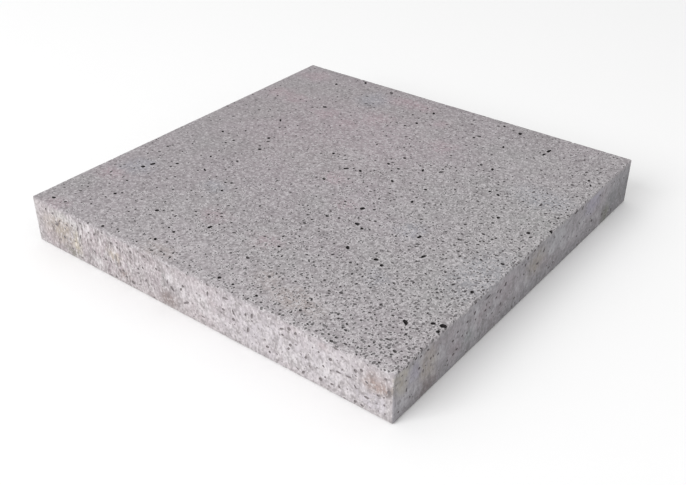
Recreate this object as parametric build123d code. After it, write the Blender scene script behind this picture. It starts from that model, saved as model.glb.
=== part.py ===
from build123d import *
import os

# Square concrete paving slab, cast in one piece and stored lying on its bed face.
# Millimetres, +Z up. The origin is the middle of the bed face, X and Y run along its sides.

slab_length = 600.0  # side along X
slab_width = 600.0  # side along Y
slab_thickness = 70.0  # bed face to walking face
arris_radius = 2.0  # rounding that the mould leaves on all twelve edges


def paving_slab():
    """The slab: a rectangular block of concrete with every arris slightly rounded."""
    block = Box(
        slab_length,
        slab_width,
        slab_thickness,
        align=(Align.CENTER, Align.CENTER, Align.MIN),
    )
    return fillet(block.edges(), arris_radius)


os.makedirs("parts", exist_ok=True)
export_step(paving_slab(), "parts/paving_slab.step")
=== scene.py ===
"""Looks of a square concrete paving slab that was cast in one piece, with an open-pored walking face.

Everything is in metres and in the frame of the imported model: +Z up, the origin in the middle of the bed
face, X and Y along the slab's sides. Sizes of holes, stains and patterns are written in millimetres.
"""

import logging
import math
import random
from collections import defaultdict
from collections.abc import Callable, Iterable, Iterator
from dataclasses import dataclass
from enum import Enum
from itertools import product

import bmesh
import bpy
import numpy as np
from bmesh.types import BMesh, BMVert
from bpy.types import Material, Mesh, Node, NodeSocket, NodeTree, Object
from mathutils import Matrix, Vector, noise


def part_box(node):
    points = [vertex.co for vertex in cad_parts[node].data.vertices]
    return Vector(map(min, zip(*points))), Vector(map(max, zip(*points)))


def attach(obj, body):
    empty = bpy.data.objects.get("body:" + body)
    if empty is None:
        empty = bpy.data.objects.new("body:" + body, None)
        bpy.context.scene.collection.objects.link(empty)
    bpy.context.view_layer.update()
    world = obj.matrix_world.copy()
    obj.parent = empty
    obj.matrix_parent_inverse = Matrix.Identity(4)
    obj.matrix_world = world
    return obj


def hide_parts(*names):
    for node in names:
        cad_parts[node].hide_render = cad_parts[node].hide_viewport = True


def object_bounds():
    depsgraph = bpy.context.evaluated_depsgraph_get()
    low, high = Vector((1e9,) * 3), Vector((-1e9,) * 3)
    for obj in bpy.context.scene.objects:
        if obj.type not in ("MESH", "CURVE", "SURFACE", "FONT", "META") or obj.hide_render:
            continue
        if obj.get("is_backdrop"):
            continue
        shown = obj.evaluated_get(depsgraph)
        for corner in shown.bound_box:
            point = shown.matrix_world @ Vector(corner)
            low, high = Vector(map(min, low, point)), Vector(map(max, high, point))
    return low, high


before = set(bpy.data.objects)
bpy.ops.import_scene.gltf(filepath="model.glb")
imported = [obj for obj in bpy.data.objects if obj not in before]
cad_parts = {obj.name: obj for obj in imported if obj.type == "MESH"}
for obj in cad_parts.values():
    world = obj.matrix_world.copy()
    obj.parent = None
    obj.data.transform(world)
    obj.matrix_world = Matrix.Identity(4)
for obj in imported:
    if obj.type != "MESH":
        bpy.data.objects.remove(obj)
cad_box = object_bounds()

log = logging.getLogger("paving_slab")

MM = 0.001
NODE = "paving_slab"
BODY = "root"
BAKE_MAP = "OFBake"

# Socket numbers of a Mix node that mixes colours.
MIX_SHARE, MIX_UNDER, MIX_OVER, MIX_RESULT = 0, 6, 7, 2


def linear(code: str) -> tuple[float, float, float, float]:
    """Turns an sRGB hex colour into linear light.

    Args:
        code: the colour as #RRGGBB.

    Returns:
        Red, green and blue in linear light, and an alpha of 1.
    """
    parts = [int(code[i : i + 2], 16) / 255 for i in (1, 3, 5)]
    light = [c / 12.92 if c <= 0.04045 else ((c + 0.055) / 1.055) ** 2.4 for c in parts]
    return (*light, 1.0)


def new_material(name: str, roughness: float, specular: float) -> Material:
    """Makes a material with the same gloss all over.

    Args:
        name: the material's name.
        roughness: how blurred its reflections are, from 0 to 1.
        specular: how strong they are. At 0.5 they are as the index of refraction makes them.

    Returns:
        The material.
    """
    material = bpy.data.materials.new(name)
    material.use_nodes = True
    shader = material.node_tree.nodes["Principled BSDF"]
    shader.inputs["Roughness"].default_value = roughness
    shader.inputs["IOR"].default_value = 1.5  # near that of quartz sand, cement paste and paper fibres
    shader.inputs["Specular IOR Level"].default_value = specular
    return material


def new_object(name: str, shape: BMesh, materials: list[Material]) -> Object:
    """Turns a finished bmesh into an object at the origin.

    Args:
        name: the object's name.
        shape: the geometry, which is freed.
        materials: what its material slots hold.

    Returns:
        The object, linked to the scene.
    """
    mesh = bpy.data.meshes.new(name)
    shape.to_mesh(mesh)
    shape.free()
    for material in materials:
        mesh.materials.append(material)
    made = bpy.data.objects.new(name, mesh)
    bpy.context.scene.collection.objects.link(made)
    return made


class SlabFace(Enum):
    """The slab's six faces, each with its own right, up and outward directions."""

    WALKING = ((1, 0, 0), (0, 1, 0), (0, 0, 1))
    BED = ((1, 0, 0), (0, -1, 0), (0, 0, -1))
    FRONT = ((1, 0, 0), (0, 0, 1), (0, -1, 0))
    BACK = ((-1, 0, 0), (0, 0, 1), (0, 1, 0))
    RIGHT = ((0, 1, 0), (0, 0, 1), (1, 0, 0))
    LEFT = ((0, -1, 0), (0, 0, 1), (-1, 0, 0))

    @property
    def right(self) -> Vector:
        """The direction along the face, seen from outside."""
        return Vector(self.value[0])

    @property
    def up(self) -> Vector:
        """The direction up the face, seen from outside."""
        return Vector(self.value[1])

    @property
    def outward(self) -> Vector:
        """The direction that the face looks in."""
        return Vector(self.value[2])


@dataclass(frozen=True)
class SlabBox:
    """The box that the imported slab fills."""

    low: Vector
    high: Vector

    @property
    def centre(self) -> Vector:
        """The middle of the box."""
        return (self.low + self.high) / 2

    @property
    def size(self) -> Vector:
        """Length, width and thickness."""
        return self.high - self.low

    def reach(self, direction: Vector) -> float:
        """Half the box's extent along one of its axes."""
        return abs(self.size.dot(direction)) / 2

    def depth_below(self, face: SlabFace, point: Vector) -> float:
        """How far a point lies inside the plane of a face."""
        return self.reach(face.outward) - (point - self.centre).dot(face.outward)

    def on_face(self, face: SlabFace, along: float, up: float) -> Vector:
        """The point of a face, in metres, that lies so many mm along and up from its middle."""
        middle = self.centre + face.outward * self.reach(face.outward)
        return middle + face.right * (along * MM) + face.up * (up * MM)


class HoleKind(Enum):
    """The kinds of air hole. The number is the material slot of their walls."""

    OPEN = 1  # wide and deep, in the walking face
    SHALLOW = 2  # narrow, in the walking face
    SIDE = 3  # in the front, back, left and bed faces
    RIGHT_SIDE = 4  # in the right side


@dataclass(frozen=True)
class AirHole:
    """An air hole that opens on a face. Lengths are in millimetres, from the middle of the face."""

    face: SlabFace
    kind: HoleKind
    depth: float  # as a share of the width
    along: float
    up: float
    length: float
    width: float
    turn: float = 0.0  # degrees between the hole's length and the face's right
    hook: float = 0.0  # how far the two ends bend aside, as a share of the length


class HoleLayout:
    """The air holes of the slab, kept so far apart that no two of them run into each other."""

    CELL = 14 * MM
    LAND = 0.35 * MM  # the narrowest strip of concrete left between two holes
    ROOM = 0.56  # radius of the room that a hole takes, as a share of its greatest width

    def __init__(self, box: SlabBox) -> None:
        """Starts with no holes.

        Args:
            box: the slab's box.
        """
        self.box = box
        self.holes: list[AirHole] = []
        self.cells: dict[tuple[int, ...], list[tuple[Vector, float]]] = defaultdict(list)

    def add(self, hole: AirHole) -> bool:
        """Adds a hole if there is room for it.

        Args:
            hole: the hole.

        Returns:
            True if it was added.
        """
        point = self.box.on_face(hole.face, hole.along, hole.up)
        radius = max(hole.length, hole.width) * self.ROOM * MM
        cell = tuple(math.floor(c / self.CELL) for c in point)
        for step in product((-1, 0, 1), repeat=3):
            for other, taken in self.cells[tuple(c + s for c, s in zip(cell, step))]:
                if (other - point).length < radius + taken + self.LAND:
                    return False
        self.cells[cell].append((point, radius))
        self.holes.append(hole)
        return True


@dataclass(frozen=True)
class HoleScatter:
    """Air holes strewn at random over one face, narrow ones far more often than wide ones."""

    TRIES = 12  # places that may be tried for each hole
    HOOKS = (0.0, 0.0, 0.15, -0.2)  # about half of the holes stay straight

    face: SlabFace
    kind: HoleKind
    count: int
    narrowest: float  # mm
    widest: float  # mm
    rarity: float  # the higher, the fewer wide ones
    longest: float  # the greatest length, as a multiple of the width
    depth: float  # as a share of the width
    seed: int
    crowding: Callable[[float, float], float] = lambda along, up: 1.0

    def strew(self, layout: HoleLayout) -> int:
        """Adds the holes to a layout.

        Args:
            layout: the holes so far.

        Returns:
            How many holes found room.
        """
        rng = random.Random(self.seed)
        reach_along = layout.box.reach(self.face.right) / MM
        reach_up = layout.box.reach(self.face.up) / MM
        placed = 0
        for _ in range(self.count * self.TRIES):
            if placed == self.count:
                break
            along = rng.uniform(-reach_along, reach_along)
            up = rng.uniform(-reach_up, reach_up)
            width = self.narrowest * (self.widest / self.narrowest) ** (rng.random() ** self.rarity)
            length = width * (1 + (self.longest - 1) * rng.random() ** 2)
            turn = rng.uniform(0, 180)
            hook = rng.choice(self.HOOKS)
            if rng.random() <= self.crowding(along / reach_along, up / reach_up):
                hole = AirHole(self.face, self.kind, self.depth, along, up, length, width, turn, hook)
                placed += layout.add(hole)
        return placed


class Ball(Enum):
    """How often the balls that air holes and chips are cut with are subdivided."""

    COARSE = 1
    PLAIN = 2
    FINE = 3


def unit_balls(ball: Ball, count: int) -> tuple[BMesh, list[list[BMVert]]]:
    """Makes many equal unit balls at the origin, by doubling one of them.

    Args:
        ball: how fine they are.
        count: how many are needed.

    Returns:
        The bmesh and the vertices of each copy.
    """
    shape = bmesh.new()
    bmesh.ops.create_icosphere(shape, subdivisions=ball.value, radius=1)
    size = len(shape.verts)
    while len(shape.verts) < size * count:
        bmesh.ops.duplicate(shape, geom=shape.verts[:] + shape.edges[:] + shape.faces[:])
    bmesh.ops.delete(shape, geom=shape.verts[size * count :], context="VERTS")
    verts = shape.verts[:]
    return shape, [verts[i * size : (i + 1) * size] for i in range(count)]


@dataclass
class HoleCutter:
    """Turns air holes into the closed shapes that are taken out of the slab."""

    box: SlabBox
    seed: int = 11
    proud: float = 0.9  # how far a cutter stands out of its face, mm
    coarse_width: float = 2.6  # up to this width a hole is a coarse ball, mm
    plain_width: float = 5.2  # up to this width a hole is a plain ball, mm
    roughness: float = 0.35  # how uneven a hole's wall is, as a share of its radius
    lumps: float = 0.9  # how many lumps a wall has along its radius

    def ball_for(self, hole: AirHole) -> Ball:
        """The ball that suits a hole's width."""
        if hole.width <= self.coarse_width:
            return Ball.COARSE
        return Ball.PLAIN if hole.width <= self.plain_width else Ball.FINE

    def fill(self, holes: list[AirHole]) -> BMesh:
        """Makes the cutters of all holes.

        Args:
            holes: the holes.

        Returns:
            One bmesh with a closed shape for each hole.
        """
        whole = bmesh.new()
        rng = random.Random(self.seed)
        for ball in Ball:
            mine = [hole for hole in holes if self.ball_for(hole) is ball]
            shape, copies = unit_balls(ball, len(mine))
            for hole, verts in zip(mine, copies):
                self.shape_cutter(verts, hole, rng)
            part = bpy.data.meshes.new("cutters")
            shape.to_mesh(part)
            shape.free()
            whole.from_mesh(part)
            bpy.data.meshes.remove(part)
        return whole

    def shape_cutter(self, verts: list[BMVert], hole: AirHole, rng: random.Random) -> None:
        """Turns one unit ball into the cutter of one hole.

        Args:
            verts: the unit ball's vertices.
            hole: the hole.
            rng: where its unevenness comes from.
        """
        radius = hole.width / 2
        start = Vector((rng.uniform(0, 90), rng.uniform(0, 90), rng.uniform(0, 90)))
        origin = self.box.on_face(hole.face, hole.along, hole.up)
        axes = Matrix((hole.face.right, hole.face.up, hole.face.outward)).transposed().to_4x4()
        spin = Matrix.Rotation(math.radians(hole.turn), 4, "Z")
        placing = Matrix.Translation(origin) @ axes @ spin @ Matrix.Scale(MM, 4)
        for vert in verts:
            swell = radius * (1 + self.roughness * noise.noise(vert.co * self.lumps + start))
            x = vert.co.x * swell * hole.length / hole.width
            y = vert.co.y * swell + 2 * hole.hook * x**2 / hole.length
            z = vert.co.z * (self.proud if vert.co.z > 0 else hole.depth * hole.width)
            vert.co = placing @ Vector((x, y, z))
        for face in {f for vert in verts for f in vert.link_faces}:
            face.material_index = hole.kind.value


def walking_crowding(along: float, up: float) -> float:
    """How thickly air holes sit on the walking face: most at the front right corner.

    Args:
        along: place along the face, from -1 to 1.
        up: place up the face, from -1 to 1.

    Returns:
        The share of the tried holes that stay.
    """
    cluster = 0.5 + 0.5 * noise.noise(Vector((along * 4.1, up * 4.1, 3.7)))  # about 7 cm wide
    rise_right, rise_front = (1 + along) / 2, (1 - up) / 2
    rise = 0.13 + 0.30 * rise_right + 0.10 * rise_front + 0.36 * rise_right * rise_front
    return rise * (0.65 + 0.5 * cluster)


# The widest air holes of the walking face. Each row gives along, up, length and width in mm, and where
# the hole is turned, its turn in degrees.
WIDE_HOLES = (
    (-168, 170, 6.5, 6), (-255, 148, 4, 3.5), (-192, 88, 10, 3.5, -48), (-209, 26, 5, 3.4, -45),
    (-164, 29, 6.5, 4.8, -50), (-157, 20, 5.5, 3.6, 30), (-150, -7, 6, 5.4), (-201, -9, 5.2, 4.2),
    (-235, 3, 6, 4, -45), (-205, -22, 4.2, 3.4), (-191, -68, 5.5, 3.2, -50), (-168, -103, 9, 3, -35),
    (-213, -114, 5, 4.6), (-240, -136, 8, 6, 70), (-245, -150, 6.2, 5.4), (-111, -108, 4.6, 4.2),
    (-119, -112, 4, 3.4), (-107, -131, 4.2, 4), (-162, -170, 4, 3.6), (-137, -222, 6, 5, 20),
    (-130, -217, 3.6, 3.2), (-216, -226, 5.2, 4.4), (-210, -219, 3.6, 3.2), (-273, -284, 6.4, 4.6),
    (-163, -292, 5, 4.2), (-86, -272, 6.6, 4.2, -30), (-80, -246, 5, 4.4), (-93, -242, 3.6, 3.2),
    (-52, -210, 9, 5, 80), (-76, -188, 3.8, 3.2), (37, -284, 5.2, 4.8), (59, -284, 4, 3.8),
    (96, -284, 4.2, 4), (48, -190, 5, 4.2), (-17, -20, 5.6, 4.8), (-12, 23, 8.5, 5.2, 45),
    (9, 30, 7.4, 4.4, -45), (-3, 30, 3.6, 3.2), (-55, 49, 6.4, 4.2, -60), (36, 101, 5, 4.8),
    (78, 86, 9, 3.2, -60), (48, 68, 5, 4.6), (28, 72, 6.4, 4.4, -50), (62, 33, 6.2, 4.8, -45),
    (101, 97, 9, 4, 45), (74, -52, 7.6, 6, 75), (92, -88, 6.8, 6.2), (104, -93, 5.8, 4.2, -20),
    (49, -96, 5, 4.6), (173, -65, 8.4, 4.6, 80), (202, -99, 10.5, 4.6, 72), (117, -140, 8.6, 5, -45),
    (160, -140, 6.4, 6), (173, -146, 5.2, 5), (259, -221, 9.6, 5.4, -42), (295, -201, 7.6, 7),
    (284, -204, 5.6, 5), (296, -213, 5.6, 4.6, 80), (287, -127, 5.2, 5), (286, -55, 5.4, 4.2),
    (277, 27, 6, 5.4), (228, 37, 5.6, 4.8, 80), (229, 21, 4.6, 4, 70), (298, 48, 6.4, 5, 80),
    (198, 89, 6.4, 4.2, -50), (184, 91, 6.2, 4.2, 80), (190, 100, 4.2, 3.6), (155, 149, 8.2, 4.2, -65),
    (135, 151, 4.6, 4.2), (192, 250, 10.5, 5.4, 82), (191, 235, 7.6, 4.2, 80), (130, 276, 8.6, 5.2, -60),
    (98, 284, 6.2, 4, -50), (85, 230, 6, 5.2), (81, 221, 4.6, 4), (132, 220, 7.6, 3.4, -70),
    (-15, 257, 7.2, 4.6, -60), (-16, 210, 6.6, 4.6, -50), (-26, 192, 4.6, 3.6), (-115, 282, 7, 5.6),
    (-175, 290, 8.2, 4.4, -55), (-211, 255, 7.2, 4.6, -60), (278, 202, 6, 3.6, -60),
    (286, 190, 5.8, 3.4, -60), (233, -10, 4.6, 3.6), (116, 2, 6.4, 4, -70), (133, 8, 4.2, 4),
    (112, 41, 5, 4.4),
)

# Larger blowholes of the front side, in the same way.
FRONT_HOLES = (
    (-273, 24, 6, 3.6, 50), (-259, 22, 5.6, 3.4, 20), (-253, 7, 9, 2.8, 30), (-231, 14, 4.6, 3.4),
    (-219, 18, 4.4, 3), (-240, -8, 5, 4.2), (-226, -21, 5, 3.2, 20), (-204, 6, 7.6, 3, 80),
    (-173, 22, 5.6, 3.6, 60), (-157, 30, 4.2, 3.6), (-140, 21, 5.4, 3.8, 20), (-129, 26, 4.2, 3.2),
    (-129, 19, 4.2, 3.4), (-106, 30, 4.6, 3.2, 70), (-103, 22, 5, 4.2), (-156, -10, 4.6, 3.6),
    (-123, -14, 4.8, 3.8, 20), (-106, -25, 6.2, 5.4), (-139, -30, 5.4, 3.4, 15), (-78, 26, 5.2, 4.2, 20),
    (-83, 7, 4.2, 3.6), (-92, 2, 4.4, 3.6), (-57, 16, 4.4, 3.8), (-39, 5, 7.4, 2.8, 80),
    (-31, -2, 8.6, 4.6, -45), (-11, 10, 5.4, 4, 20), (-15, 4, 5.4, 3, 60), (-8, -13, 12, 3.2, 32),
    (32, 31, 5.2, 3.8), (31, 18, 8.4, 3.2, 80), (61, 24, 10.5, 3.6, 8), (56, 6, 6.2, 3.4),
    (72, 9, 7.6, 3.4, -65), (72, -1, 5.4, 4.2, 10), (92, 15, 5.2, 3.4, 80), (94, -6, 8.6, 3.2, 80),
    (102, 18, 8, 3.8, 82), (147, 21, 7.4, 3, 30), (158, 26, 6.2, 4.6, 40), (148, 13, 4.2, 3.4),
    (167, 24, 4.8, 3.6, 50), (159, 4, 5.4, 3.8, 40), (156, -3, 5.4, 3.2, 60), (181, -3, 5.2, 3.4, 55),
    (124, -16, 6, 3.8, 20), (127, -22, 4.6, 3.6), (177, -26, 6.2, 3.4, 55), (202, -23, 6, 4.8),
    (218, -22, 5.8, 3.2, 10), (216, 12, 5.6, 4.2, 40), (227, 0, 8, 3.2), (241, 1, 7.4, 3, 5),
    (250, 14, 5.2, 4.2), (258, 19, 4.6, 4), (265, 6, 4.6, 3.4), (265, -15, 7.4, 3.6),
    (280, -4, 4.2, 3.4), (250, -29, 4.8, 3.6, 20), (289, 23, 5, 3.2, 20), (294, 8, 5.6, 3.8, 40),
)

# Larger blowholes of the right side, in the same way.
RIGHT_HOLES = (
    (-277, 30, 4.6, 3.2), (-260, 30, 4.8, 3.6), (-251, 27, 4.4, 3.2), (-237, 27, 5.8, 3.2, -25),
    (-253, 12, 5.2, 3.4, -20), (-276, -2, 6, 2.8, 80), (-185, 6, 5.6, 3.4, -20), (-176, 13, 4.2, 3.2),
    (-175, -12, 5.2, 3.8, -20), (-182, -15, 5.6, 3.6), (-139, 32, 6, 3.2), (-139, 18, 6.2, 4, 70),
    (-155, 15, 4.4, 3.2), (-110, 24, 10, 3.4, 5), (-114, 7, 5, 3.4), (-80, 15, 5.6, 3.6, 70),
    (-69, 19, 6.2, 4.4, 60), (-77, -5, 5.4, 3.4, 60), (-21, 7, 5.2, 3.2, -30), (-13, 27, 6, 3.8, 70),
    (-19, 20, 5.4, 3.6, 60), (3, 30, 4.8, 4), (12, 32, 6.2, 3.2), (15, 4, 8.6, 3.4, -15),
    (30, 16, 5.6, 3.8, 60), (119, 31, 11, 4), (139, 28, 6.6, 3.4, 60), (195, 22, 5.2, 3.2, -40),
    (179, -11, 7, 4.4, -30), (214, -17, 6.2, 4.2), (247, -25, 6.2, 3.4, 80),
)


@dataclass
class PavingSlab:
    """The slab itself: its block, worn arrises, open air holes and finishes."""

    box: SlabBox
    name: str = "cast_slab"
    arris_radius: float = 2 * MM
    arris_segments: int = 3
    grid: float = 14 * MM  # spacing of the cuts that let the faces be uneven
    unevenness: float = 0.45 * MM  # how deep the flat faces dip
    wave: float = 75 * MM  # width of the broad dips
    ripple: float = 28 * MM  # width of the small dips
    front_wear: float = 2.4 * MM  # how far the front top arris is worn back
    crisp_wear: float = 0.6 * MM  # how far the other arrises are worn back
    wear_width: float = 22 * MM  # width of the worn places along an arris
    chip_seed: int = 29
    chip_length: tuple[float, float] = (2.0, 4.6)  # half of a chip's length, least and greatest, mm
    chip_bite: tuple[float, float] = (0.9, 2.2)  # how deep it is cut into the arris, mm
    chip_radius: tuple[float, float] = (1.8, 3.4)  # how round it is cut, mm
    chip_spacing: float = 2.6  # least step from chip to chip, as a multiple of the half length
    chip_lumps: float = 1.3  # how many lumps a chip has along its radius
    arris_loss: float = 0.6 * MM  # what the rounding takes off a corner
    sharp_angle: float = 38  # degrees; faces that meet at more look sharp

    def block(self) -> BMesh:
        """Makes the block with its rounded arrises and slightly uneven faces.

        Returns:
            The closed block.
        """
        shape = bmesh.new()
        bmesh.ops.create_cube(shape, size=1)
        bmesh.ops.scale(shape, vec=self.box.size, verts=shape.verts)
        bmesh.ops.translate(shape, vec=self.box.centre, verts=shape.verts)
        bmesh.ops.bevel(
            shape,
            geom=shape.edges[:],
            offset=self.arris_radius,
            segments=self.arris_segments,
            profile=0.5,
            affect="EDGES",
            material=-1,
        )
        for axis in Matrix.Identity(3):
            reach = self.box.reach(axis) - self.arris_radius
            cuts = math.ceil(2 * reach / self.grid)
            for i in range(1, cuts):
                place = self.box.centre + axis * (-reach + 2 * reach * i / cuts)
                geometry = shape.verts[:] + shape.edges[:] + shape.faces[:]
                bmesh.ops.bisect_plane(shape, geom=geometry, plane_co=place, plane_no=axis)
        for vert in shape.verts:
            vert.co += self.sinking(vert.co)
        bmesh.ops.triangulate(shape, faces=shape.faces)
        return shape

    def sinking(self, point: Vector) -> Vector:
        """How far a point of the surface lies inside the ideal block.

        Args:
            point: a point on the ideal block.

        Returns:
            The shift inward.
        """
        shift = Vector((0, 0, 0))
        near = [face for face in SlabFace if self.box.depth_below(face, point) < self.arris_radius]
        for face in near:
            wave = noise.noise(point / self.wave + face.outward * 9)
            ripple = noise.noise(point / self.ripple - face.outward * 5)
            sunk = 0.5 + 0.36 * wave + 0.14 * ripple  # from 0 to 1, so that nothing stands out of the block
            shift -= face.outward * self.unevenness * sunk
        if len(near) > 1:
            front_top = SlabFace.WALKING in near and SlabFace.FRONT in near
            depth = self.front_wear if front_top else self.crisp_wear
            wear = 0.5 + 0.5 * noise.noise(point / self.wear_width + Vector((4, 8, 15)))
            for face in near:
                shift -= face.outward * depth * wear**2 / len(near)
        return shift

    def chips(self) -> BMesh:
        """Makes the cutters of the small chips along the arrises.

        Returns:
            One bmesh with a closed shape for each chip.
        """
        rng = random.Random(self.chip_seed)
        placings = []
        for one, other, gap in self.arrises():
            direction = one.outward.cross(other.outward)
            outwards = (one.outward + other.outward).normalized()
            axes = Matrix((direction, outwards, direction.cross(outwards))).transposed().to_4x4()
            reach = self.box.reach(direction)
            corner = self.box.centre + one.outward * self.box.reach(one.outward)
            corner += other.outward * self.box.reach(other.outward)
            along = -reach + rng.uniform(2, gap) * MM
            while along < reach - 4 * MM:
                length = rng.uniform(*self.chip_length) * MM
                bite = rng.uniform(*self.chip_bite) * MM
                radius = rng.uniform(*self.chip_radius) * MM
                centre = corner + direction * along + outwards * (radius - bite - self.arris_loss)
                size = Matrix.Diagonal((length, radius, radius, 1))
                placings.append(Matrix.Translation(centre) @ axes @ size)
                along += self.chip_spacing * length + rng.uniform(1, gap) * MM
        shape, copies = unit_balls(Ball.PLAIN, len(placings))
        for placing, verts in zip(placings, copies):
            start = Vector((rng.uniform(0, 90), 0, 0))
            for vert in verts:
                vert.co = placing @ (vert.co * (1 + 0.5 * noise.noise(vert.co * self.chip_lumps + start)))
        return shape

    def arrises(self) -> Iterator[tuple[SlabFace, SlabFace, float]]:
        """Goes round the slab from arris to arris.

        Returns:
            The two faces of each arris, and the widest gap between its chips in mm.
        """
        sides = (SlabFace.FRONT, SlabFace.RIGHT, SlabFace.BACK, SlabFace.LEFT)
        for i, side in enumerate(sides):
            yield SlabFace.WALKING, side, 16 if side is SlabFace.FRONT else 34
            yield SlabFace.BED, side, 60
            yield side, sides[(i + 1) % 4], 70

    def holes(self) -> list[AirHole]:
        """Lays out all air holes, the widest first.

        Returns:
            The holes that found room.
        """
        layout = HoleLayout(self.box)
        for listed, face, kind, depth in (
            (WIDE_HOLES, SlabFace.WALKING, HoleKind.OPEN, 0.75),
            (FRONT_HOLES, SlabFace.FRONT, HoleKind.SIDE, 0.42),
            (RIGHT_HOLES, SlabFace.RIGHT, HoleKind.RIGHT_SIDE, 0.42),
        ):
            for place_and_size in listed:
                if not layout.add(AirHole(face, kind, depth, *place_and_size)):
                    log.warning("no room for the hole %s on %s", place_and_size, face.name)
        top, shallow, side = SlabFace.WALKING, HoleKind.SHALLOW, HoleKind.SIDE
        # Each row gives face, kind, count, narrowest, widest, rarity, longest, depth and seed.
        scatters = (
            HoleScatter(top, shallow, 90, 3.0, 4.4, 1.6, 1.9, 0.55, 101, walking_crowding),
            HoleScatter(top, shallow, 2600, 1.4, 3.2, 1.6, 1.9, 0.6, 102, walking_crowding),
            HoleScatter(SlabFace.FRONT, side, 210, 1.4, 3.4, 1.4, 2.6, 0.36, 103),
            HoleScatter(SlabFace.RIGHT, HoleKind.RIGHT_SIDE, 130, 1.4, 3.4, 1.4, 2.4, 0.36, 104),
            HoleScatter(SlabFace.BACK, side, 180, 1.4, 5.2, 1.8, 2.4, 0.4, 105),
            HoleScatter(SlabFace.LEFT, side, 180, 1.4, 5.2, 1.8, 2.4, 0.4, 106),
            HoleScatter(SlabFace.BED, side, 160, 1.6, 6.0, 1.8, 1.8, 0.4, 107),
        )
        for scatter in scatters:
            placed = scatter.strew(layout)
            log.info("%s: %d of %d air holes found room", scatter.face.name, placed, scatter.count)
        return layout.holes

    def build(self, finishes: list[Material]) -> Object:
        """Makes the finished slab.

        Args:
            finishes: the finish of the outer surface, and then one for each kind of air hole.

        Returns:
            The slab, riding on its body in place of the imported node.
        """
        slab = new_object(self.name, self.block(), finishes)
        holes = HoleCutter(self.box).fill(self.holes())
        self.carve(slab, new_object("hole_cutters", holes, finishes))
        self.carve(slab, new_object("chip_cutters", self.chips(), finishes))
        slab.data.name = self.name
        slab.data.shade_smooth()
        slab.data.set_sharp_from_angle(angle=math.radians(self.sharp_angle))
        self.lay_out_map(slab.data)
        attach(slab, BODY)
        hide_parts(NODE)
        return slab

    def carve(self, slab: Object, cutters: Object) -> None:
        """Takes the cutters out of the slab and removes them.

        Args:
            slab: the slab.
            cutters: the closed shapes.
        """
        cut = slab.modifiers.new("cut", "BOOLEAN")
        cut.operation = "DIFFERENCE"
        cut.solver = "MANIFOLD"
        cut.object = cutters
        ready = slab.evaluated_get(bpy.context.evaluated_depsgraph_get())
        whole = slab.data
        slab.data = bpy.data.meshes.new_from_object(ready)
        slab.modifiers.clear()
        bpy.data.meshes.remove(whole)
        bpy.data.meshes.remove(cutters.data)

    def lay_out_map(self, mesh: Mesh) -> None:
        """Gives the slab a flat map, on which the walking face takes the most room.

        Args:
            mesh: the slab's mesh.
        """
        main, strip, margin = 0.72, 0.13, 0.004
        rooms = {
            SlabFace.WALKING: (0, 0, main, main),
            SlabFace.FRONT: (0, main, main, strip),
            SlabFace.BACK: (0, main + strip, main, strip),
            SlabFace.RIGHT: (main, 0, strip, main),
            SlabFace.LEFT: (main + strip, 0, strip, main),
            SlabFace.BED: (main, main, 1 - main, 1 - main),
        }
        points = read_all(mesh.vertices, "co", 3) - self.box.centre
        middles = read_all(mesh.polygons, "center", 3) - self.box.centre
        corners = read_all(mesh.loops, "vertex_index", 1, int).ravel()
        counts = read_all(mesh.polygons, "loop_total", 1, int).ravel()
        depths = [self.box.reach(face.outward) - middles @ np.array(face.outward) for face in SlabFace]
        nearest = np.repeat(np.argmin(depths, axis=0), counts)
        places = np.empty((len(corners), 2))
        for number, face in enumerate(SlabFace):
            left, bottom, width, height = rooms[face]
            mine = nearest == number
            here = points[corners[mine]]
            along = 0.5 + here @ np.array(face.right) / (2 * self.box.reach(face.right))
            up = 0.5 + here @ np.array(face.up) / (2 * self.box.reach(face.up))
            across, rise = (up, along) if face in (SlabFace.RIGHT, SlabFace.LEFT) else (along, up)
            places[mine, 0] = left + margin + across * (width - 2 * margin)
            places[mine, 1] = bottom + margin + rise * (height - 2 * margin)
        mesh.uv_layers.new(name=BAKE_MAP).data.foreach_set("uv", places.ravel())


def read_all(
    items: bpy.types.bpy_prop_collection, name: str, width: int, kind: type = float
) -> np.ndarray:
    """Reads one property of all vertices, faces or corners of a mesh.

    Args:
        items: the vertices, faces or corners.
        name: the property.
        width: how many numbers it has.
        kind: what the numbers are.

    Returns:
        One row for each item.
    """
    values = np.empty(len(items) * width, dtype=kind)
    items.foreach_get(name, values)
    return values.reshape(-1, width)


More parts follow.
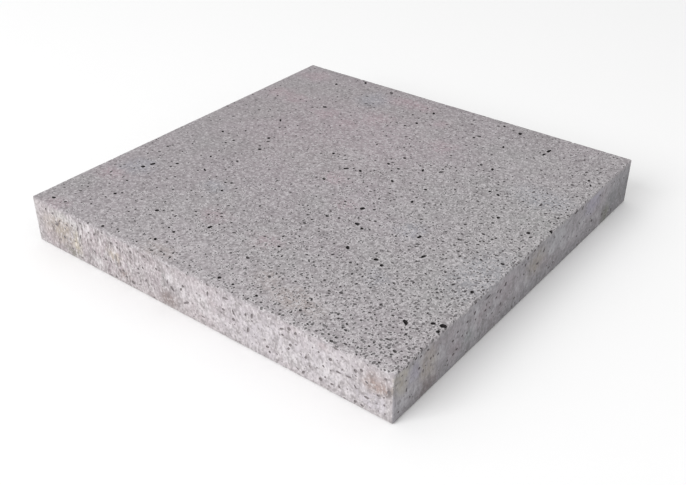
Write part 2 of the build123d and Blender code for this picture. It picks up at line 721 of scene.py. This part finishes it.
class Canvas:
    """What patterns are drawn on: a material's nodes, and where the shaded point lies, in metres."""

    def __init__(self, tree: NodeTree, place: NodeSocket | None = None) -> None:
        """Takes the given place, or else the object's own coordinates."""
        self.tree = tree
        self.place = self.add("TexCoord", {}, "Object") if place is None else place

    def add(self, kind: str, links: dict, output: int | str = 0, **settings: object) -> NodeSocket:
        """Adds one node.

        Args:
            kind: the node's type, without the ShaderNode in front.
            links: for each input, by name or number, either its value or the output that feeds it.
            output: the output that is wanted, by name or number.
            settings: the node's own properties.

        Returns:
            That output.
        """
        node = self.tree.nodes.new(f"ShaderNode{kind}")
        for name, value in settings.items():
            setattr(node, name, value)
        for socket, value in links.items():
            if isinstance(value, NodeSocket):
                self.tree.links.new(value, node.inputs[socket])
            else:
                node.inputs[socket].default_value = value
        return node.outputs[output]

    def ramp(self, share: NodeSocket, low: float, high: float) -> NodeSocket:
        """Spreads a share from 0 to 1 over the range from one value to another."""
        return self.add("MapRange", {"Value": share, "To Min": low, "To Max": high}, clamp=False)

    def rise(self, value: NodeSocket, start: float, full: float, top: float = 1.0) -> NodeSocket:
        """Rises softly from 0, where a value is at the start, to the top, where it is full."""
        links = {"Value": value, "From Min": start, "From Max": full, "To Max": top}
        return self.add("MapRange", links, interpolation_type="SMOOTHSTEP")

    def ragged(self, size: float, shift: float) -> "Canvas":
        """Shifts places at random, so that what is laid out by them gets uneven outlines.

        Args:
            size: width of the bulges in the outlines, mm.
            shift: how far the outlines bulge, mm.

        Returns:
            The canvas with the shifted place.
        """
        reach = 2 * shift * MM
        links = {"Vector": self.place, "Scale": 1 / (size * MM), "Detail": 3.0}
        bulges = self.add("TexNoise", links, "Color")
        links = {"Vector": bulges, "Location": [-reach] * 3, "Scale": [2 * reach] * 3}
        shifts = self.add("Mapping", links)
        return Canvas(self.tree, self.add("Mapping", {"Vector": self.place, "Location": shifts}))


@dataclass(frozen=True)
class Clouds:
    """A soft random pattern in the concrete."""

    size: tuple[float, float, float]  # width of its patches along X, Y and Z, mm
    start: float  # value of the noise where the patches begin
    full: float  # value of the noise where they are full
    seed: float
    detail: float = 3.0

    def mask(self, canvas: Canvas) -> NodeSocket:
        """Adds the pattern to a material.

        Args:
            canvas: what it is drawn on.

        Returns:
            A value from 0 outside the patches to 1 inside.
        """
        scale = [1 / (s * MM) for s in self.size]
        links = {"Vector": canvas.place, "Location": [self.seed] * 3, "Scale": scale}
        placed = canvas.add("Mapping", links)
        links = {"Vector": placed, "Scale": 1.0, "Detail": self.detail, "Roughness": 0.55}
        return canvas.rise(canvas.add("TexNoise", links), self.start, self.full)


@dataclass(frozen=True)
class Specks:
    """Small round specks, such as pinholes or hollows between grains, each in a cell of its own."""

    spacing: float  # average distance between cells, mm
    widest: float  # radius of the widest speck, mm
    share: float  # share of the cells that hold a speck
    softness: float  # width of a speck's blurred rim, mm
    seed: float

    def mask(self, canvas: Canvas, more: NodeSocket | float = 0.0, rim: float = 0.0) -> NodeSocket:
        """Adds the specks to a material.

        Args:
            canvas: what they are drawn on.
            more: what is added to the share, as a value or a pattern.
            rim: how far beyond the specks' edges the mask reaches, mm.

        Returns:
            A value from 0 between the specks to 1 inside them.
        """
        scale = [1 / (self.spacing * MM)] * 3
        links = {"Vector": canvas.place, "Location": [self.seed] * 3, "Scale": scale}
        distance = canvas.add("TexVoronoi", {"Vector": canvas.add("Mapping", links), "Scale": 1.0})
        luck = canvas.add("SeparateColor", {"Color": distance.node.outputs["Color"]})
        empty = canvas.add("Math", {0: 1 - self.share, 1: more}, operation="SUBTRACT")
        above = canvas.add("Math", {0: luck, 1: empty}, operation="SUBTRACT")
        widest = self.widest / self.spacing / self.share
        radius = canvas.add("Math", {0: above, 1: widest}, operation="MULTIPLY")
        inside = canvas.add("Math", {0: radius, 1: distance}, operation="SUBTRACT")
        full = max(self.softness, rim) - rim
        return canvas.rise(inside, -rim / self.spacing, full / self.spacing)


@dataclass(frozen=True)
class Patch:
    """A patch of a face with a feathered outline. Lengths are in mm, from the middle of the face."""

    face: SlabFace
    along: float
    up: float
    half_width: float
    half_height: float
    depth: float  # how far it reaches in and out of the face

    def mask(self, canvas: Canvas, box: SlabBox, strength: float = 1.0) -> NodeSocket:
        """Adds the patch to a material.

        Args:
            canvas: what it is drawn on.
            box: the slab's box.
            strength: the value in the patch's middle.

        Returns:
            A value from 0 outside the patch to the strength in its middle.
        """
        face = self.face
        spans = ((face.right, self.half_width), (face.up, self.half_height), (face.outward, self.depth))
        radius = sum((Vector([abs(c) for c in axis]) * span * MM for axis, span in spans), Vector())
        scale = [1 / r for r in radius]
        shift = [-c * s for c, s in zip(box.on_face(face, self.along, self.up), scale)]
        placed = canvas.add("Mapping", {"Vector": canvas.place, "Location": shift, "Scale": scale})
        ball = canvas.add("TexGradient", {"Vector": placed}, "Fac", gradient_type="SPHERICAL")
        return canvas.rise(ball, 0.0, 0.8, strength)  # the innermost fifth has the full strength


@dataclass(frozen=True)
class Stain(Patch):
    """A patch in a shade of its own."""

    colour: str
    strength: float


def stains_on(face: SlabFace, depth: float, rows: Iterable[tuple]) -> Iterator[Stain]:
    """Makes stains on one face, and bands of painted shade laid out the same way.

    Args:
        face: the face.
        depth: how far each stain reaches in and out of the face, mm.
        rows: along, up, half width and half height in mm, colour and strength of each stain.

    Returns:
        The stains, in the order of the rows.
    """
    for along, up, half_width, half_height, colour, strength in rows:
        yield Stain(face, along, up, half_width, half_height, depth, colour, strength)


class ColourCoat:
    """The colour of a surface, built up layer by layer."""

    def __init__(self, canvas: Canvas, base: str | NodeSocket) -> None:
        """Starts with one colour all over, or with the colour of another coat."""
        self.canvas = canvas
        self.colour = base if isinstance(base, NodeSocket) else linear(base)

    def lay(
        self,
        colour: str | NodeSocket,
        mask: NodeSocket,
        strength: float | NodeSocket = 1.0,
        blend: str = "MIX",
    ) -> None:
        """Lays a colour over what is there.

        Args:
            colour: the colour, as a hex code or another coat's colour.
            mask: where it lies, from 0 to 1.
            strength: how much of it shows where the mask is 1, as a value or a pattern.
            blend: how it mixes with what is there.
        """
        if strength != 1.0:
            mask = self.canvas.add("Math", {0: mask, 1: strength}, operation="MULTIPLY")
        over = colour if isinstance(colour, NodeSocket) else linear(colour)
        links = {MIX_SHARE: mask, MIX_UNDER: self.colour, MIX_OVER: over}
        self.colour = self.canvas.add("Mix", links, MIX_RESULT, data_type="RGBA", blend_type=blend)

    def stain(self, stains: Iterable[Stain], canvas: Canvas, box: SlabBox) -> None:
        """Lays stains over what is there, one after the other.

        Args:
            stains: the stains.
            canvas: what they are drawn on.
            box: the slab's box.
        """
        for stain in stains:
            self.lay(stain.colour, stain.mask(canvas, box, stain.strength))


@dataclass(frozen=True)
class WalkingFaceFinish:
    """Concrete whose cement skin is gone: sand and pinholes show, so it looks grey, grainy and matte."""

    base: str = "#9F989C"
    green_grey: str = "#959895"
    rose_grey: str = "#AC979E"
    blue_grey: str = "#959BA5"
    warm_grey: str = "#A99C92"
    dark_grey: str = "#8D8689"
    pale_grey: str = "#ADA8AA"
    pale_sand: str = "#CDC9CB"
    dark_sand_and_hollow_shade: str = "#706B6D"
    pinhole: str = "#444142"
    broad_clouds: Clouds = Clouds((95, 95, 95), 0.36, 0.70, 2.0)
    small_clouds: Clouds = Clouds((30, 30, 30), 0.47, 0.73, 7.0)
    hollows: Specks = Specks(12.0, 3.4, 0.5, 2.6, 4.0)
    # Sand grains are 0.5 to 2 mm wide, hardly a pixel, so they are drawn twice as coarse to show.
    dark_grain: Clouds = Clouds((4.2, 4.2, 4.2), 0.43, 0.67, 3.0)
    pale_grain: Clouds = Clouds((3.6, 3.6, 3.6), 0.46, 0.69, 21.0)
    pinholes: Specks = Specks(4.0, 1.5, 0.45, 0.5, 1.0)
    pale_rim: float = 1.2  # width of the pale rim round a pinhole, mm

    stains: tuple[Stain, ...] = (
        *stains_on(SlabFace.WALKING, 60, (
            (0, 320, 460, 170, dark_grey, 0.35), (60, -330, 460, 190, pale_grey, 0.50),
            (300, 10, 200, 330, green_grey, 0.40), (-250, -40, 330, 380, dark_grey, 0.20),
            (-90, 120, 260, 240, rose_grey, 0.20),
        )),
        *stains_on(SlabFace.WALKING, 30, (
            (-30, 58, 36, 36, pale_grey, 0.50), (-260, 262, 40, 30, rose_grey, 0.40),
            (-62, 264, 62, 26, rose_grey, 0.55), (15, 230, 24, 24, rose_grey, 0.40),
            (-74, 184, 32, 36, rose_grey, 0.45), (-262, 170, 34, 28, rose_grey, 0.45),
            (-224, 165, 28, 26, rose_grey, 0.40), (-150, 150, 30, 26, rose_grey, 0.45),
            (-104, 140, 26, 26, rose_grey, 0.40), (60, 165, 30, 28, rose_grey, 0.40),
            (-4, -8, 34, 26, rose_grey, 0.45), (50, -56, 26, 24, rose_grey, 0.40),
            (-68, -184, 34, 26, rose_grey, 0.45), (26, -190, 36, 28, rose_grey, 0.45),
            (-264, -190, 36, 24, rose_grey, 0.40), (-258, -290, 30, 22, rose_grey, 0.40),
            (-122, 240, 40, 44, blue_grey, 0.35), (250, 118, 66, 40, blue_grey, 0.35),
            (-250, -152, 40, 34, blue_grey, 0.35), (-122, -130, 30, 24, blue_grey, 0.30),
            (156, -60, 30, 28, blue_grey, 0.35), (278, -90, 52, 80, blue_grey, 0.30),
            (184, -170, 26, 24, blue_grey, 0.30), (136, -264, 62, 26, warm_grey, 0.40),
            (80, -250, 26, 24, warm_grey, 0.25), (-66, -286, 40, 24, warm_grey, 0.30),
        )),
    )

    def colour(self, canvas: Canvas, box: SlabBox, crowding: NodeSocket) -> NodeSocket:
        """Builds the colour of the walking face.

        Args:
            canvas: what it is drawn on.
            box: the slab's box.
            crowding: how thick the pinholes sit, from 0 to 1.

        Returns:
            The colour.
        """
        coat = ColourCoat(canvas, self.base)
        coat.lay(self.green_grey, self.broad_clouds.mask(canvas), 0.4)
        coat.lay(self.dark_grey, self.small_clouds.mask(canvas), 0.4)
        coat.stain(self.stains, canvas.ragged(24, 8), box)
        # Hollows too small to model are painted darker: painted shade, in the dark sand's colour.
        coat.lay(self.dark_sand_and_hollow_shade, self.hollows.mask(canvas), 0.5)
        coat.lay(self.dark_sand_and_hollow_shade, self.dark_grain.mask(canvas), canvas.ramp(crowding, 0.46, 0.74))
        coat.lay(self.pale_sand, self.pale_grain.mask(canvas), canvas.ramp(crowding, 0.34, 0.72))
        more = canvas.ramp(crowding, -0.25, 0.42)
        coat.lay(self.pale_sand, self.pinholes.mask(canvas, more, self.pale_rim), 0.72)
        # Pinholes too small to model are painted dark: painted shade inside them.
        coat.lay(self.pinhole, self.pinholes.mask(canvas.ragged(3, 0.55), more), 0.8)
        return coat.colour


@dataclass(frozen=True)
class MouldSkinFinish:
    """The mould's fine cement skin on the sides: pale, smooth and stained, with painted shade on the right
    side.
    """

    base: str = "#B3ADAE"
    right_side_shade: str = "#DBDEE2"
    white_bloom: str = "#D9D4D5"
    rose_grey: str = "#AC9FA0"
    shadow_grey: str = "#7E7878"
    lilac_white: str = "#CFCAD3"
    bloom_white: str = "#D5D1D3"
    pale_grey: str = "#C8C7C7"
    cream: str = "#C9BFA9"
    sandy_grey: str = "#BAAD9B"
    ochre: str = "#A79C8E"
    rose_stain: str = "#ADA0A2"
    mauve_grey: str = "#A0949A"
    slate_grey: str = "#8A8989"
    brown_grey: str = "#8B7D7A"
    moss_grey: str = "#858476"
    umber: str = "#645B58"
    rust: str = "#9B867E"
    blue_grey: str = "#BBB5C6"
    green_grey: str = "#ABB2AD"
    plum_grey: str = "#776C71"
    pit: str = "#7A7475"
    dirt: str = "#8B8987"
    rose_clouds: Clouds = Clouds((70, 70, 40), 0.43, 0.71, 31.0)
    bloom_clouds: Clouds = Clouds((22, 22, 18), 0.47, 0.73, 37.0)
    shadow_clouds: Clouds = Clouds((26, 26, 20), 0.49, 0.75, 33.0)
    dark_streaks: Clouds = Clouds((3.2, 3.2, 24), 0.48, 0.66, 41.0)
    pale_streaks: Clouds = Clouds((3.0, 3.0, 20), 0.48, 0.66, 45.0)
    mottling: Clouds = Clouds((8, 8, 9), 0.48, 0.68, 55.0)
    # The skin's own grain is finer than a pixel, and is drawn coarse for the same reason.
    dark_grain: Clouds = Clouds((3.6, 3.6, 5), 0.46, 0.66, 43.0)
    pale_grain: Clouds = Clouds((3.2, 3.2, 4), 0.48, 0.68, 47.0)
    pits: Specks = Specks(6.5, 2.0, 0.35, 1.1, 9.0)
    streaked: Patch = Patch(SlabFace.FRONT, -165, 0, 135, 120, 40)  # streaked from top to bottom

    stains: tuple[Stain, ...] = (
        *stains_on(SlabFace.FRONT, 8, (
            (-190, 0, 190, 90, mauve_grey, 0.58), (140, 5, 270, 90, lilac_white, 0.32),
            # The first, long mauve-grey band below only makes the front side darker towards the top.
            (0, 31, 460, 32, mauve_grey, 0.22), (-300, 1, 14, 60, pale_grey, 0.50),
            (-232, 23, 46, 14, pale_grey, 0.85), (-212, 9, 12, 20, pale_grey, 0.80),
            (-245, 1, 56, 34, ochre, 0.80), (-268, -15, 22, 18, rose_stain, 0.60),
            (-214, -9, 13, 24, cream, 0.85), (-225, -27, 22, 13, moss_grey, 0.85),
            (-252, 8, 10, 7, umber, 0.80), (-264, 0, 8, 6, umber, 0.70),
            (-256, -20, 2.6, 22, umber, 0.75), (-193, 25, 17, 11, bloom_white, 0.80),
            (-178, 5, 30, 16, rose_stain, 0.50), (-172, -20, 20, 14, pale_grey, 0.60),
            (-150, -11, 5, 36, plum_grey, 0.80), (-137, 4, 22, 17, sandy_grey, 0.80),
            (-118, -4, 11, 9, mauve_grey, 0.60), (-120, -20, 20, 13, brown_grey, 0.80),
            (-62, -5, 20, 24, mauve_grey, 0.50), (-40, -23, 24, 21, brown_grey, 0.85),
            (-45, 12, 9, 13, slate_grey, 0.70), (-46, -4, 8, 8, slate_grey, 0.60),
            (-34, 15, 9, 13, bloom_white, 0.80), (20, -5, 22, 22, bloom_white, 0.60),
            (160, -15, 28, 15, bloom_white, 0.60), (205, -9, 20, 16, bloom_white, 0.60),
            (207, 23, 15, 9, rose_stain, 0.60), (275, -15, 30, 16, lilac_white, 0.50),
            (277, 9, 27, 19, rust, 0.80), (294, 8, 8, 12, umber, 0.85),
        )),
        *stains_on(SlabFace.RIGHT, 20, (
            # The first, long band below is painted shade: the right side gets darker towards the bottom.
            (20, -35, 460, 34, slate_grey, 0.40), (262, -11, 60, 60, slate_grey, 0.60),
        )),
        *stains_on(SlabFace.RIGHT, 8, (
            (-285, 17, 22, 28, cream, 0.60), (-262, 11, 15, 17, blue_grey, 0.55),
            (-234, 5, 28, 36, sandy_grey, 0.50), (-232, -25, 36, 17, brown_grey, 0.75),
            (-180, -11, 23, 26, rose_stain, 0.65), (-150, -7, 17, 17, green_grey, 0.55),
            (-70, 11, 28, 28, rose_stain, 0.55), (12, 9, 38, 28, ochre, 0.70),
            (62, 15, 60, 28, pale_grey, 0.40), (175, 19, 40, 24, blue_grey, 0.60),
            (242, -5, 28, 24, slate_grey, 0.65), (226, -21, 20, 22, moss_grey, 0.80),
            (293, -5, 14, 54, slate_grey, 0.70),
        )),
    )

    def colour(self, canvas: Canvas, box: SlabBox, on_right: NodeSocket) -> NodeSocket:
        """Builds the colour of the sides.

        Args:
            canvas: what it is drawn on.
            box: the slab's box.
            on_right: 1 on the right side and 0 on the others.

        Returns:
            The colour.
        """
        coat = ColourCoat(canvas, self.base)
        coat.lay(self.rose_grey, self.rose_clouds.mask(canvas), 0.6)
        coat.lay(self.white_bloom, self.bloom_clouds.mask(canvas), 0.6)
        coat.lay(self.shadow_grey, self.shadow_clouds.mask(canvas), 0.4)
        coat.stain(self.stains, canvas.ragged(14, 5), box)
        streaked = self.streaked.mask(canvas, box)
        coat.lay(self.shadow_grey, self.dark_streaks.mask(canvas), canvas.ramp(streaked, 0.22, 0.90))
        coat.lay(self.white_bloom, self.pale_streaks.mask(canvas), canvas.ramp(streaked, 0.10, 0.75))
        coat.lay(self.shadow_grey, self.mottling.mask(canvas), 0.48)
        grain = canvas.ramp(on_right, 0.54, 0.27)
        coat.lay(self.shadow_grey, self.dark_grain.mask(canvas), grain)
        coat.lay(self.white_bloom, self.pale_grain.mask(canvas), grain)
        # Pits too small to model are painted darker: painted shade inside them.
        coat.lay(self.pit, self.pits.mask(canvas), 0.6)
        # Painted shade: the right side, which looks away from the key light, is greyed all over.
        coat.lay(self.right_side_shade, on_right, blend="MULTIPLY")
        return coat.colour


@dataclass(frozen=True)
class CastConcrete:
    """The whole outer surface: the grainy walking face, and the mould skin that creeps over its rim."""

    box: SlabBox
    walking: WalkingFaceFinish = WalkingFaceFinish()
    skin: MouldSkinFinish = MouldSkinFinish()
    roughness: float = 0.88
    specular: float = 0.3
    grain: float = 1.8  # width of the grains that stand out of the surface, mm
    relief: float = 0.5  # how far the grains stand out, mm
    creep: float = 3.2  # how far the skin's border wanders off the arris, mm
    open_depth: float = 20.0  # how deep below the walking face all is skin, the bed face too, mm
    dirt_height: float = 8.0  # height of the dirt along the bottom arris, mm

    def material(self) -> Material:
        """Makes the material.

        Returns:
            The material of the outer surface.
        """
        # Vibrated concrete takes the flatness of its steel mould, but dries dull and fine-grained. To the
        # eye the slab is stony and dry, without any shine.
        material = new_material("cast_concrete_vibrated_in_a_steel_mould", self.roughness, self.specular)
        canvas = Canvas(material.node_tree)
        axes = canvas.add("SeparateXYZ", {"Vector": canvas.place}).node
        crowding = self.crowding(canvas)
        skin_share = self.skin_share(canvas, axes)
        coat = ColourCoat(canvas, self.walking.colour(canvas, self.box, crowding))
        coat.lay(self.skin.colour(canvas, self.box, self.on_right(canvas, axes)), skin_share)
        self.add_dirt(canvas, coat, axes)
        links = {"Vector": canvas.place, "Scale": 1 / (self.grain * MM), "Detail": 3.0, "Roughness": 0.6}
        grain = canvas.add("TexNoise", links)
        bump = canvas.add("Bump", {"Height": grain, "Strength": 0.5, "Distance": self.relief * MM})
        shader = canvas.tree.nodes["Principled BSDF"]
        canvas.tree.links.new(coat.colour, shader.inputs["Base Color"])
        canvas.tree.links.new(bump, shader.inputs["Normal"])
        return material

    def crowding(self, canvas: Canvas) -> NodeSocket:
        """How thick the pinholes sit: from 0 at the back left corner to 1 at the front right one.

        Args:
            canvas: what they are drawn on.

        Returns:
            The value, which grows more along X than towards the front.
        """
        links = {0: canvas.place, 1: (1.25, -0.75, 0)}
        across = canvas.add("VectorMath", links, "Value", operation="DOT_PRODUCT")
        links = {"Value": across, "From Min": -self.box.size.x, "From Max": self.box.size.x}
        return canvas.add("MapRange", links, clamp=False)

    def on_right(self, canvas: Canvas, axes: Node) -> NodeSocket:
        """Tells the right side from the others: 1 on the right side and 0 elsewhere."""
        edge = self.box.high.x  # the change lies on the rounded arris, 2.2 to 0.9 mm inside
        return canvas.rise(axes.outputs["X"], edge - 2.2 * MM, edge - 0.9 * MM)

    def skin_share(self, canvas: Canvas, axes: Node) -> NodeSocket:
        """Where the mould skin lies: on the sides and, by an uneven border, on the walking face's rim.

        Args:
            canvas: what the skin is drawn on.
            axes: the node that gives X, Y and Z.

        Returns:
            A value from 0 on the walking face to 1 on the sides.
        """
        far_x = canvas.add("Math", {0: axes.outputs["X"]}, operation="ABSOLUTE")
        far_y = canvas.add("Math", {0: axes.outputs["Y"]}, operation="ABSOLUTE")
        far = canvas.add("Math", {0: far_x, 1: far_y}, operation="MAXIMUM")
        inner = self.box.high.x - self.open_depth * MM
        rim = canvas.add("Math", {0: far, 1: inner}, operation="MAXIMUM")
        beyond = canvas.add("Math", {0: rim, 1: axes.outputs["Z"]}, operation="SUBTRACT")
        links = {"Vector": canvas.place, "Scale": 1 / (24 * MM), "Detail": 5.0, "Roughness": 0.65}
        scallops = canvas.add("TexNoise", links)
        links = {0: scallops, 1: 4 * self.creep * MM, 2: beyond}
        wander = canvas.add("Math", links, operation="MULTIPLY_ADD")
        arris = self.box.high.x - self.box.high.z + 2 * self.creep * MM
        return canvas.rise(wander, arris + 0.8 * MM, arris + 5.3 * MM)

    def add_dirt(self, canvas: Canvas, coat: ColourCoat, axes: Node) -> None:
        """Lays the thin grey line of dirt along the bottom arris and on the bed face.

        Args:
            canvas: what the dirt is drawn on.
            coat: the colour so far.
            axes: the node that gives X, Y and Z.
        """
        border = canvas.add("TexNoise", {"Vector": canvas.place, "Scale": 1 / (14 * MM), "Detail": 3.0})
        links = {0: border, 1: -self.dirt_height * MM, 2: axes.outputs["Z"]}
        height = canvas.add("Math", links, operation="MULTIPLY_ADD")
        coat.lay(self.skin.dirt, canvas.rise(height, 3 * MM, -3 * MM), 0.12)


@dataclass(frozen=True)
class HoleWall:
    """The wall of an air hole: rough, dusty cement paste that set against air, darkened with painted shade.
    """

    name: str
    # paste carries the painted shade of the hole; dust is the mottling laid over it.
    paste: str
    dust: str
    roughness: float = 0.95
    specular: float = 0.15
    mottling: Clouds = Clouds((1.6, 1.6, 1.6), 0.41, 0.79, 51.0, 2.0)

    def material(self) -> Material:
        """Makes the material.

        Returns:
            The material of one kind of hole.
        """
        material = new_material(self.name, self.roughness, self.specular)
        canvas = Canvas(material.node_tree)
        coat = ColourCoat(canvas, self.paste)
        coat.lay(self.dust, self.mottling.mask(canvas), 0.7)
        canvas.tree.links.new(coat.colour, canvas.tree.nodes["Principled BSDF"].inputs["Base Color"])
        return material


# The walls carry painted shade: the deeper a hole is, the darker its wall is painted. The holes in the
# sides are shallow and face the light, so theirs are painted paler. The right side looks away from it, so
# its walls are painted a little greyer.
HOLE_WALLS = {
    HoleKind.OPEN: HoleWall("cement_paste_with_deep_painted_shade_in_open_air_holes", "#2B292A", "#4A4647"),
    HoleKind.SHALLOW: HoleWall("cement_paste_with_painted_shade_in_shallow_air_holes", "#504D4E", "#6B6768"),
    HoleKind.SIDE: HoleWall("cement_paste_with_light_painted_shade_in_side_blowholes", "#807A7B", "#938D8E"),
    HoleKind.RIGHT_SIDE: HoleWall("cement_paste_with_painted_shade_in_right_side_blowholes", "#676364", "#7A7678"),
}


@dataclass(frozen=True)
class PhotoView:
    """The camera, as a pinhole that was fitted to the slab's corners in the photograph."""

    azimuth: float = 37.78  # degrees, 0 looks along +Y
    elevation: float = 32.585  # degrees above the horizon
    distance: float = 1.3082  # from the middle of the slab, m
    aside: float = 0.0007  # how far the view's middle lies right of the slab's middle, m
    below: float = 0.0625  # how far the view's middle lies below the slab's middle, m
    focal_pixels: float = 919.1
    picture_width: int = 686  # pixels
    sensor: float = 36.0  # mm

    def build(self, target: Vector) -> Object:
        """Makes the camera.

        Args:
            target: the middle of the slab.

        Returns:
            The scene's camera.
        """
        turn, tilt = math.radians(self.azimuth), math.radians(self.elevation)
        back = Vector((math.sin(turn) * math.cos(tilt), -math.cos(turn) * math.cos(tilt), math.sin(tilt)))
        right = Vector((math.cos(turn), math.sin(turn), 0))
        up = back.cross(right)
        data = bpy.data.cameras.new("photo_view")
        data.sensor_width = self.sensor
        data.sensor_fit = "HORIZONTAL"
        data.lens = self.focal_pixels * self.sensor / self.picture_width
        data.clip_start = 0.01
        camera = bpy.data.objects.new("photo_view", data)
        place = Matrix.Translation(target + right * self.aside - up * self.below + back * self.distance)
        camera.matrix_world = place @ Matrix((right, up, back)).transposed().to_4x4()
        bpy.context.scene.collection.objects.link(camera)
        bpy.context.scene.camera = camera
        return camera


@dataclass(frozen=True)
class Studio:
    """A pale floor under a large soft light from the front left, in an even pale room."""

    floor_colour: str = "#FAFAFA"
    floor_reach: float = 30.0  # from its middle to its edges, m
    room_colour: str = "#FFFFFF"
    room_light: float = 0.77
    key_place: tuple[float, float, float] = (-1.3, -4.6, 3.3)  # m
    key_size: float = 3.6  # m
    key_power: float = 185.0  # watts

    def build(self) -> None:
        """Makes the floor, the world and the key light."""
        self.build_floor()
        self.build_room()
        self.build_key()
        view = bpy.context.scene.view_settings
        view.view_transform = "Standard"
        view.look = "None"

    def build_floor(self) -> None:
        """Makes the plain floor that the slab lies on."""
        # Uncoated paper spreads light evenly, so the floor shows a soft shadow and no mirror image.
        material = new_material("pale_matte_paper", 0.9, 0.1)
        colour = material.node_tree.nodes["Principled BSDF"].inputs["Base Color"]
        colour.default_value = linear(self.floor_colour)
        shape = bmesh.new()
        bmesh.ops.create_grid(shape, x_segments=1, y_segments=1, size=self.floor_reach)
        new_object("floor", shape, [material])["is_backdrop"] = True

    def build_room(self) -> None:
        """Makes the even light of the room."""
        world = bpy.data.worlds.new("pale_room")
        world.use_nodes = True
        light = world.node_tree.nodes["Background"]
        light.inputs["Color"].default_value = linear(self.room_colour)
        light.inputs["Strength"].default_value = self.room_light
        bpy.context.scene.world = world

    def build_key(self) -> None:
        """Makes the large soft light."""
        data = bpy.data.lights.new("soft_key", "AREA")
        data.shape = "SQUARE"
        data.size = self.key_size
        data.energy = self.key_power
        key = bpy.data.objects.new("soft_key", data)
        key.location = self.key_place
        key.rotation_euler = (-Vector(self.key_place)).to_track_quat("-Z", "Y").to_euler()
        bpy.context.scene.collection.objects.link(key)


def write_boxes() -> None:
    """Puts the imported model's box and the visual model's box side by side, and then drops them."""
    boxes = {"cad": cad_box, "visual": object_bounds()}
    {name: [list(corner) for corner in box] for name, box in boxes.items()}


def main() -> None:
    """Builds the slab, the studio and the camera, and reports each piece."""
    logging.basicConfig(level=logging.INFO, format="%(name)s: %(message)s")
    box = SlabBox(*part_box(NODE))
    finishes = [CastConcrete(box).material(), *(HOLE_WALLS[kind].material() for kind in HoleKind)]
    slab = PavingSlab(box).build(finishes)
    slab.data.calc_loop_triangles()
    log.info("%s: %d triangles", slab.name, len(slab.data.loop_triangles))
    Studio().build()
    camera = PhotoView().build(box.centre)
    log.info("%s: lens %.2f mm", camera.name, camera.data.lens)
    write_boxes()


if __name__ == "__main__":
    main()
